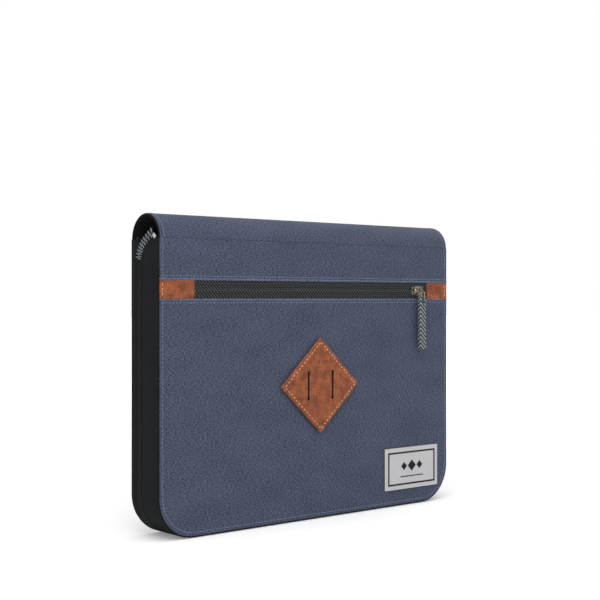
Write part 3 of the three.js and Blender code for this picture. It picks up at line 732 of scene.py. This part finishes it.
def makeZipTail(label, side, half, body):
    # half is -1 for the front tape and 1 for the back tape
    width = zipTail["frontWidth"] if half < 0 else zipTail["backWidth"]
    ribbon = bmesh.new()
    rows = []
    for step in range(zipTail["steps"] + 1):
        point, along, off = tailFrame(step / zipTail["steps"], half)
        row = []
        for share in (0.0, 0.35, 0.7, 1.0):
            spot = point + off * (0.0004 + width * share)
            row.append(ribbon.verts.new((side * (halfWidth + 0.0001 - 0.0012 * share**2), *spot)))
        rows.append(row)
    for low, high in zip(rows, rows[1:]):
        for index in range(3):
            ribbon.faces.new((low[index], low[index + 1], high[index + 1], high[index]))
    faceOutward(ribbon)
    if ribbon.faces[:][0].normal.x * side < 0:
        bmesh.ops.reverse_faces(ribbon, faces=ribbon.faces[:])
    layCloth(ribbon, lambda point: (point.y, point.z))
    tape = finishPiece("zipTailTape" + label, ribbon, [blackTwill], body, (), True, False)
    solidify(tape, zipTail["wall"])
    teeth = bmesh.new()
    for step in range(zipTail["teeth"]):
        point, along, off = tailFrame((step + (0.25 if half < 0 else 0.75)) / zipTail["teeth"], half)
        spot = point + off * zipTail["toothShift"]
        directions = (Vector((0, *along)), Vector((0, *off)), Vector((side, 0, 0)))
        axes = [direction * size for direction, size in zip(directions, zipTail["tooth"])]
        addBead(teeth, (side * (halfWidth + 0.0003), *spot), axes)
    faceOutward(teeth)
    finishPiece("zipTailTeeth" + label, teeth, [greyNylon], body, (), True, False)
    if half < 0:
        stop = bmesh.new()
        end = tailFrame(1.0, half)[0]
        centre = (side * (halfWidth + 0.0001), end.x - 0.0016, end.y - 0.0026)
        addBox(stop, centre, zipTail["stop"], Matrix.Rotation(-0.8, 4, "X"))
        bevelled(stop, stop.edges[:], 0.0003, 2, "EDGES")
        finishPiece("zipStop" + label, stop, [satinSilver], body, ())


def makeWalls():
    reach, room = wallCloth["reach"], wallCloth["zipRoom"]
    makeWall("frontGussetCloth", frontY + reach, splitY - room, "front_half", "front_gusset")
    makeWall("backGussetCloth", splitY + room, backY - reach, "back_half", "back_gusset")
    makeTeeth("frontZipTeeth", -1, "front_half", 0.0)
    makeTeeth("backZipTeeth", 1, "back_half", 0.5)
    for label, side in (("Left", -1), ("Right", 1)):
        makeZipTail(label + "Front", side, -1, "front_half")
        makeZipTail(label + "Back", side, 1, "back_half")


makeWalls()
print("gussets and zip made")


# pocket zip band
bandZip = {"ribs": 3, "ribPitch": 0.00135, "ribHeight": 0.0007, "level": 0.0011, "wall": 0.0007, "toothPitch": 0.0016}
tabLeather = {"wall": 0.0013, "soften": 0.0004, "overlap": 0.0002, "sink": 0.0001, "stitchInset": 0.0012}
bandMiddle = (bandLow + bandHigh) / 2


def makeBandTape(name, sign, node):
    # a ribbed tape: (distance from the zip's middle, rise) round its section
    low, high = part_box(node)
    inner, outer = 0.0002, (bandHigh - bandLow) / 2 + 0.0008
    profile = [(inner, 0.0)]
    for rib in range(bandZip["ribs"]):
        for share, lift in ((0.12, 0.55), (0.3, 1.0), (0.6, 1.0), (0.8, 0.55), (0.96, 0.0)):
            profile.append((0.0003 + (rib + share) * bandZip["ribPitch"], lift * bandZip["ribHeight"]))
    profile += [(outer - 0.0012, 0.0), (outer, -0.0004), (outer, -bandZip["wall"]), (inner, -bandZip["wall"])]
    bm = bmesh.new()
    surface = frontY + bandZip["level"]
    verts = [bm.verts.new((low.x, surface - lift, bandMiddle + sign * reach)) for reach, lift in profile]
    extrude(bm, [bm.faces.new(verts)], (high.x - low.x, 0, 0))
    faceOutward(bm)
    layCloth(bm, flatCloth)
    finishPiece(name, bm, [bandTape], "front_half", [node], False, False)


def makeBandTeeth(name, sign):
    bm = bmesh.new()
    low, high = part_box("pocket_coil_upper")
    count = int((high.x - low.x) / bandZip["toothPitch"])
    axes = (Vector((0.0006, 0, 0)), Vector((0, 0.0005, 0)), Vector((0, 0, 0.0014)))
    for step in range(count):
        x = low.x + (high.x - low.x) * (step + (0.5 if sign > 0 else 1.0)) / count
        addBead(bm, (x, frontY + bandZip["level"] - 0.0001, bandMiddle + sign * 0.0007), axes, 0.6)
    finishPiece(name, bm, [greyNylon], "front_half", (), True, False)


def makeTab(name, node, side):
    low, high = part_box(node)
    left, right = (-clothHalf, high.x) if side < 0 else (low.x, clothHalf)
    bottom, top = bandLow - tabLeather["overlap"], bandHigh + tabLeather["overlap"]
    y = frontY + tabLeather["sink"]
    bm = bmesh.new()
    faces = blankFace(bm, [(left, y, bottom), (right, y, bottom), (right, y, top), (left, y, top)])
    thicken(bm, faces, tabLeather["wall"], tabLeather["soften"])
    x = side * (halfWidth - coverCloth["bottomInset"] - topStitch["rowInset"])
    ends = (bandLow + tabLeather["stitchInset"], bandHigh - tabLeather["stitchInset"])
    stitchLine(bm, *(Vector((x, y, z)) for z in ends), materialIndex=1)
    finishPiece(name, bm, [tanLeather, tanThread], "front_half", [node])


makeBandTape("pocketTapeUpper", 1, "pocket_tape_upper")
makeBandTape("pocketTapeLower", -1, "pocket_tape_lower")
makeBandTeeth("pocketTeethUpper", 1)
makeBandTeeth("pocketTeethLower", -1)
makeTab("tabLeatherLeft", "pocket_tab_left", -1)
makeTab("tabLeatherRight", "pocket_tab_right", 1)
print("pocket band made")


# diamond lash patch
patchLeather = {
    "soften": 0.0006,
    "stitchInset": 0.0024,
    "slotLength": 0.0205,
    "slotWidth": 0.0025,
    "slotShift": 0.01115,
}
patchStitch = {"pitch": 0.0031, "length": 0.0019, "width": 0.00085, "height": 0.0004}
lipSide = {"length": 0.0213, "width": 0.0007, "height": 0.00035}
lipEnd = {"length": 0.0026, "width": 0.0009, "height": 0.0004}


def makePatch():
    low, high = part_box("lash_patch")
    centre = (low + high) / 2
    middle = Vector((centre.x, low.y, centre.z))
    ends = ((centre.x, low.z), (high.x, centre.z), (centre.x, high.z), (low.x, centre.z))
    tips = [Vector((x, low.y, z)) for x, z in ends]
    width, length = patchLeather["slotWidth"], patchLeather["slotLength"]
    slots = [centre.x + side * patchLeather["slotShift"] for side in (-1, 1)]
    bm = bmesh.new()
    faces = blankFace(bm, tips, (0, 1, 2, 3), 0.0009, 3)
    thicken(bm, faces, high.y - low.y, patchLeather["soften"], True)
    # the side faces take the paler edge leather, partly a painted highlight
    for face in bm.faces:
        if abs(face.normal.y) < 0.5:
            face.material_index = 1
    leather = finishPiece("patchLeather", bm, [tanLeather, tanEdgeAndHighlight], "front_half", ["lash_patch"])
    # slots cut through the leather, and a black sheet behind them as painted shade in the slots
    cutters, behind = bmesh.new(), bmesh.new()
    for x in slots:
        addBox(cutters, (x, centre.y, centre.z), (width, 0.01, length))
        addBox(behind, (x, high.y - 0.0001, centre.z), (width + 0.001, 0.0003, length + 0.001))
    cutter = finishPiece("slotCutter", cutters, [tanEdgeAndHighlight], None, (), False, False)
    knife = leather.modifiers.new("slots", "BOOLEAN")
    knife.object = cutter
    knife.operation = "DIFFERENCE"
    knife.solver = "EXACT"
    carved = evaluatedMesh(leather)
    leather.modifiers.clear()
    leather.data = carved
    bpy.data.objects.remove(cutter)
    # black sheet standing in for the shade inside the slots: painted shade
    finishPiece("slotShadeSheet", behind, [blackWall], "front_half", (), False, False)
    # rows of stitches along the four edges, and a raised lip round each slot
    rows, lips = bmesh.new(), bmesh.new()
    slant = (tips[1] - tips[0]).normalized()
    offset = patchLeather["stitchInset"] / (tips[0] - middle).normalized().cross(slant).length
    inner = [tip + (middle - tip).normalized() * offset for tip in tips]
    for first, last in zip(inner, inner[1:] + inner[:1]):
        stitchLine(rows, first, last, patchStitch)
    finishPiece("patchStitches", rows, [tanThread], "front_half", (), True, False)
    y = low.y + 0.0001
    for x in slots:
        for sign in (-1, 1):
            side = Vector((x + sign * (width / 2 + 0.0003), y, centre.z))
            addStitch(lips, side, Vector((0, 0, 1)), frontward, lipSide)
            end = Vector((x, y, centre.z + sign * lipSide["length"] / 2))
            addStitch(lips, end, Vector((1, 0, 0)), frontward, lipEnd)
    # the lips take the paler edge leather, partly a painted highlight
    finishPiece("slotLips", lips, [tanEdgeAndHighlight], "front_half", (), True, False)


makePatch()
print("lash patch made")


# label
labelPlate = {
    "soften": 0.0003,
    "frameInset": 0.0038,
    "frameLine": 0.0012,
    "inkDepth": 0.0003,
    "lozenge": 0.0034,
    "spacing": 0.0082,
    "lozengeLift": 0.0016,
    "barDrop": 0.0062,
    "bar": (0.024, 0.0002, 0.0007),
}


def makeLabel():
    low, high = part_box("label_plate")
    centre = (low + high) / 2
    size = high - low
    bm = bmesh.new()
    corners = [(low.x, low.y, low.z), (high.x, low.y, low.z), (high.x, low.y, high.z), (low.x, low.y, high.z)]
    faces = blankFace(bm, corners, (0, 1, 2, 3), 0.0006, 3)
    thicken(bm, faces, size.y, labelPlate["soften"])
    finishPiece("labelPlate", bm, [satinSilver], "front_half", ["label_plate"])
    ink = bmesh.new()
    inset, line, depth = (labelPlate[key] for key in ("frameInset", "frameLine", "inkDepth"))
    for side in (-1, 1):
        upright = (centre.x + side * (size.x / 2 - inset), low.y, centre.z)
        level = (centre.x, low.y, centre.z + side * (size.z / 2 - inset))
        addBox(ink, upright, (line, depth, size.z - 2 * inset + line))
        addBox(ink, level, (size.x - 2 * inset - line, depth, line))
    finishPiece("labelFrame", ink, [labelInk], "front_half", ["label_frame"], False, False)
    # plain ornament: a row of three lozenges over a bar
    ornament = bmesh.new()
    z = centre.z + labelPlate["lozengeLift"]
    for step in (-1, 0, 1):
        spot = Matrix.Translation((centre.x + step * labelPlate["spacing"], low.y - 0.0001, z))
        bmesh.ops.create_circle(
            ornament, cap_ends=True, segments=4, radius=labelPlate["lozenge"] * (1.25 if step == 0 else 0.9),
            matrix=spot @ Matrix.Rotation(math.pi / 2, 4, "X"),
        )
    bmesh.ops.inset_individual(ornament, faces=ornament.faces[:], thickness=0.0008, use_even_offset=True)
    addBox(ornament, (centre.x, low.y - 0.00005, centre.z - labelPlate["barDrop"]), labelPlate["bar"])
    faceOutward(ornament)
    finishPiece("labelOrnament", ornament, [labelInk], "front_half", (), False, False)


makeLabel()
print("label made")


# sliders, rings and pulls
sliderShape = {
    "plate": 0.0012,
    "soften": 0.00045,
    "bridgeWidth": 0.0024,
    "bridgeWall": 0.0012,
    "foot": 0.0003,
    "lift": 0.0032,  # from the solid's outside to the plate's
}
wireRadius = 0.0005


def zipSlider(bm, halfLength, halfHeight):
    # the slider runs along X with its outside at -Y, round the origin
    nose, waist = halfHeight * 0.72, halfLength * 0.2
    lower = [(-halfLength, 0, -nose), (waist, 0, -halfHeight), (halfLength, 0, -halfHeight * 0.85)]
    faces = blankFace(bm, lower + [(x, y, -z) for x, y, z in reversed(lower)], range(6), 0.0012, 4)
    thicken(bm, faces, sliderShape["plate"], sliderShape["soften"])
    plate = set(bm.verts)
    foot = sliderShape["foot"]
    bridge = addBox(bm, (-0.0041, foot, 0), (sliderShape["bridgeWall"], 0.0002, sliderShape["bridgeWidth"]))
    faces = list({f for v in bridge["verts"] for f in v.link_faces})
    start = [f for f in faces if f.normal.y < -0.5]
    bmesh.ops.delete(bm, geom=[f for f in faces if f not in start], context="FACES")
    spinRound(bm, start + [e for f in start for e in f.edges], (0, foot, 0), (0, 0, 1), math.pi, 14)
    arch = [v for v in bm.verts if v not in plate]
    bmesh.ops.scale(bm, vec=(1, 0.72, 1), space=Matrix.Translation((0, -foot, 0)), verts=arch)
    bmesh.ops.remove_doubles(bm, verts=arch, dist=1e-6)
    faceOutward(bm)


def wireRing(name, x, points, body, replaced):
    # a closed wire through (y, z) points, at one x
    curve = bpy.data.curves.new(name, "CURVE")
    curve.dimensions = "3D"
    curve.bevel_depth = wireRadius
    curve.bevel_resolution = 4
    curve.resolution_u = 8
    line = curve.splines.new("BEZIER")
    line.bezier_points.add(len(points) - 1)
    for knot, point in zip(line.bezier_points, points):
        knot.co = (x, *point)
        knot.handle_left_type = knot.handle_right_type = "AUTO"
    line.use_cyclic_u = True
    wire = newObject(name + "Line", curve)
    mesh = evaluatedMesh(wire)
    bpy.data.objects.remove(wire)
    mesh.materials.clear()
    mesh.materials.append(agedBrass)
    mesh.name = name
    for polygon in mesh.polygons:
        polygon.use_smooth = True
    ring = newObject(name, mesh)
    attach(ring, body)
    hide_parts(replaced)


def webbingPull(name, node, wall, body, wireZ):
    # a flat webbing strip folded over the ring's lower wire, sewn together below it
    low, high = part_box(node)
    centre = (low + high) / 2
    inner = low.x + wall
    bm = bmesh.new()
    ends = ((low.x, low.y), (inner, low.y), (inner, high.y), (low.x, high.y))
    verts = [bm.verts.new((x, y, wireZ)) for x, y in ends]
    bm.faces.new(verts)
    bevelled(bm, verts, wall * 0.3, 2)
    section = bm.faces[:]
    edges = [e for f in section for e in f.edges]
    bmesh.ops.duplicate(bm, geom=section + edges + [v for f in section for v in f.verts])
    spinRound(bm, section + edges, (centre.x, centre.y, wireZ), (0, 1, 0), math.pi, 12)
    # straight down, in to the seam, down to the end, and a rounded tip
    tip, seam = 0.0004, (0.0025, 0.0037)
    for drop in (*seam, wireZ - sum(seam) - low.z - tip, tip):
        lowest = min(v.co.z for v in bm.verts)
        ends = [f for f in bm.faces if all(abs(v.co.z - lowest) < 1e-6 for v in f.verts)]
        moved = extrude(bm, ends, (0, 0, -drop))
        bmesh.ops.delete(bm, geom=ends, context="FACES_ONLY")
        if drop == seam[1]:
            for vert in moved:
                aside = vert.co.x - centre.x
                if abs(aside) < (high.x - low.x - wall) / 2:
                    vert.co.x = centre.x + math.copysign(0.00005, aside)
    bmesh.ops.remove_doubles(bm, verts=bm.verts[:], dist=1e-6)
    faceOutward(bm)
    layCloth(bm, lambda point: (point.x + point.y, point.z))
    finishPiece(name, bm, [webbing], body, [node])


def makePocketPull():
    low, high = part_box("pocket_slider")
    ringLow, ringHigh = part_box("pocket_pull_ring")
    centre = (low + high) / 2
    bm = bmesh.new()
    zipSlider(bm, (high.x - low.x) / 2, (high.z - low.z) / 2)
    bmesh.ops.translate(bm, vec=(centre.x, low.y + sliderShape["lift"], centre.z), verts=bm.verts[:])
    finishPiece("pocketSliderBody", bm, [agedBrass], "pocket_slider", ["pocket_slider"])
    bottom, top = ringLow.z + wireRadius, ringHigh.z - wireRadius
    near, far = ringLow.y + wireRadius, ringHigh.y - wireRadius
    middle, neck = (bottom + top) / 2, ringHigh.y - 0.0021
    points = [
        (neck, top), (far, top - 0.0016), (far, middle),
        (far - 0.0001, bottom + 0.0006), (far - 0.0007, bottom), (near + 0.0007, bottom),
        (near + 0.0001, bottom + 0.0006), (near, middle + 0.0004), (neck - 0.0016, top - 0.0012),
    ]
    wireRing("pocketRing", centre.x, points, "pocket_ring", "pocket_pull_ring")
    webbingPull("pocketPull", "pocket_pull_cord", 0.0022, "pocket_cord", bottom)


def makeMainPull():
    low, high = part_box("main_slider")
    ringLow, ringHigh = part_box("main_pull_ring")
    bm = bmesh.new()
    zipSlider(bm, (high.z - low.z) / 2, (high.y - low.y) / 2)
    turn = Matrix.Rotation(math.pi / 2, 4, "Z") @ Matrix.Rotation(-math.pi / 2, 4, "Y")
    bmesh.ops.transform(bm, matrix=turn, verts=bm.verts[:])
    spot = (high.x - sliderShape["lift"], (low.y + high.y) / 2, (low.z + high.z) / 2)
    bmesh.ops.translate(bm, vec=spot, verts=bm.verts[:])
    finishPiece("mainSliderBody", bm, [agedBrass], "main_slider", ["main_slider"])
    near, far = ringLow.y + wireRadius, ringHigh.y - wireRadius
    bottom, top = ringLow.z + wireRadius, ringHigh.z - wireRadius
    cut = 0.0008
    points = [
        (near + cut, top), (far - cut, top), (far, top - cut), (far, bottom + cut),
        (far - cut, bottom), (near + cut, bottom), (near, bottom + cut), (near, top - cut),
    ]
    wireRing("mainRing", (ringLow.x + ringHigh.x) / 2, points, "main_ring", "main_pull_ring")
    webbingPull("mainPull", "main_pull_cord", 0.001, "main_cord", bottom)


makePocketPull()
makeMainPull()
print("pulls made")


# carried-over frame pieces: soft edges and their finishes
frameFinishes = {  # the first word found in a node's name gives its finish; the rest are black plastic
    "keyboard_frame": blastedMetal,
    "charge_port": blastedMetal,
    "circuit": greenBoard,
    "battery": foilWrap,
    "keyboard_pad": innerCloth,
    "keyboard_base": blackPlastic,
    "key_row": keyPlastic,
    "space_bar": keyPlastic,
    "lining": innerCloth,
    "elastic": innerCloth,
    "backing": innerCloth,
    "board": greyBoard,
    "tape": blackTwill,
    "coil": blackTwill,
}
softEdge = {"key": 0.0004, "other": 0.00025, "sharper": math.radians(50)}


def dressFrame():
    for name, node in cadNodes.items():
        if node.hide_render:
            continue
        chosen = next((finish for word, finish in frameFinishes.items() if word in name), blackPlastic)
        node.data.materials.clear()
        node.data.materials.append(chosen)
        if chosen in (keyPlastic, blackPlastic, blastedMetal):
            edge = node.modifiers.new("softEdges", "BEVEL")
            edge.width = softEdge["key" if chosen is keyPlastic else "other"]
            edge.segments = 2
            edge.limit_method = "ANGLE"
            edge.angle_limit = softEdge["sharper"]


dressFrame()
print("frame dressed")


# floor, lights and camera
studio = {
    "floor": (0.93, 0.93, 0.93),
    "glow": (0.2, 0.75),  # the floor's own light, near the case and far from it
    "glowReach": (0.3, 1.1),
    "world": 0.58,
    "target": Vector((0, 0, 0.1)),
}
studioLamps = {  # place, size and power
    "keyLamp": ((-0.85, -0.85, 1.15), 0.8, 7.5),
    "fillLamp": ((-1.6, 0.1, 0.6), 1.0, 1.6),
    "frontLamp": ((0.7, -1.3, 0.7), 0.8, 0.6),
    "overheadLamp": ((-0.1, -0.35, 1.5), 1.4, 9.0),
}
cameraPlace = {"location": (-0.5573, -0.6573, 0.1556), "turn": 40.18, "lens": 72.09, "shift": -0.0022}


def makeStudio():
    bm = bmesh.new()
    bmesh.ops.create_grid(bm, x_segments=2, y_segments=2, size=8.0)
    paint, tree, shader = startMaterial("floorPaint", studio["floor"], 0.9)
    seen = tree.nodes.new("ShaderNodeLightPath").outputs["Is Camera Ray"]
    shader.inputs["Emission Color"].default_value = (1, 1, 1, 1)
    distance = tree.nodes.new("ShaderNodeVectorMath")
    distance.operation = "LENGTH"
    tree.links.new(coordinates(tree, False), distance.inputs[0])
    glow = remapped(tree, distance.outputs["Value"], *studio["glowReach"], *studio["glow"])
    tree.links.new(mathNode(tree, "MULTIPLY", seen, glow), shader.inputs["Emission Strength"])
    # the floor is clear from below, so that the case's underside can be looked at
    clear = tree.nodes.new("ShaderNodeBsdfTransparent")
    below = tree.nodes.new("ShaderNodeNewGeometry").outputs["Backfacing"]
    both = tree.nodes.new("ShaderNodeMixShader")
    tree.links.new(below, both.inputs["Fac"])
    tree.links.new(shader.outputs["BSDF"], both.inputs[1])
    tree.links.new(clear.outputs["BSDF"], both.inputs[2])
    tree.links.new(both.outputs["Shader"], tree.nodes["Material Output"].inputs["Surface"])
    finishPiece("studioFloor", bm, [paint], None, (), False, False)
    world = bpy.data.worlds.new("studioWorld")
    bpy.context.scene.world = world
    world.use_nodes = True
    tree = world.node_tree
    background = tree.nodes["Background"]
    background.inputs[0].default_value = (1, 1, 1, 1)
    seen = tree.nodes.new("ShaderNodeLightPath").outputs["Is Camera Ray"]
    tree.links.new(mathNode(tree, "MULTIPLY_ADD", seen, 1.0 - studio["world"], studio["world"]), background.inputs[1])
    for name, (spot, size, power) in studioLamps.items():
        lamp = bpy.data.lights.new(name, "AREA")
        lamp.size = size
        lamp.energy = power
        holder = newObject(name, lamp)
        holder.location = spot
        holder.rotation_euler = (studio["target"] - Vector(spot)).to_track_quat("-Z", "Y").to_euler()
    camera = bpy.data.cameras.new("studioCamera")
    camera.lens = cameraPlace["lens"]
    camera.shift_y = cameraPlace["shift"]
    camera.clip_start, camera.clip_end = 0.01, 100
    holder = newObject("studioCamera", camera)
    holder.location = cameraPlace["location"]
    holder.rotation_euler = (math.pi / 2, 0, -math.radians(cameraPlace["turn"]))
    bpy.context.scene.camera = holder
    bpy.context.scene.view_settings.view_transform = "Standard"


makeStudio()
print("studio made")
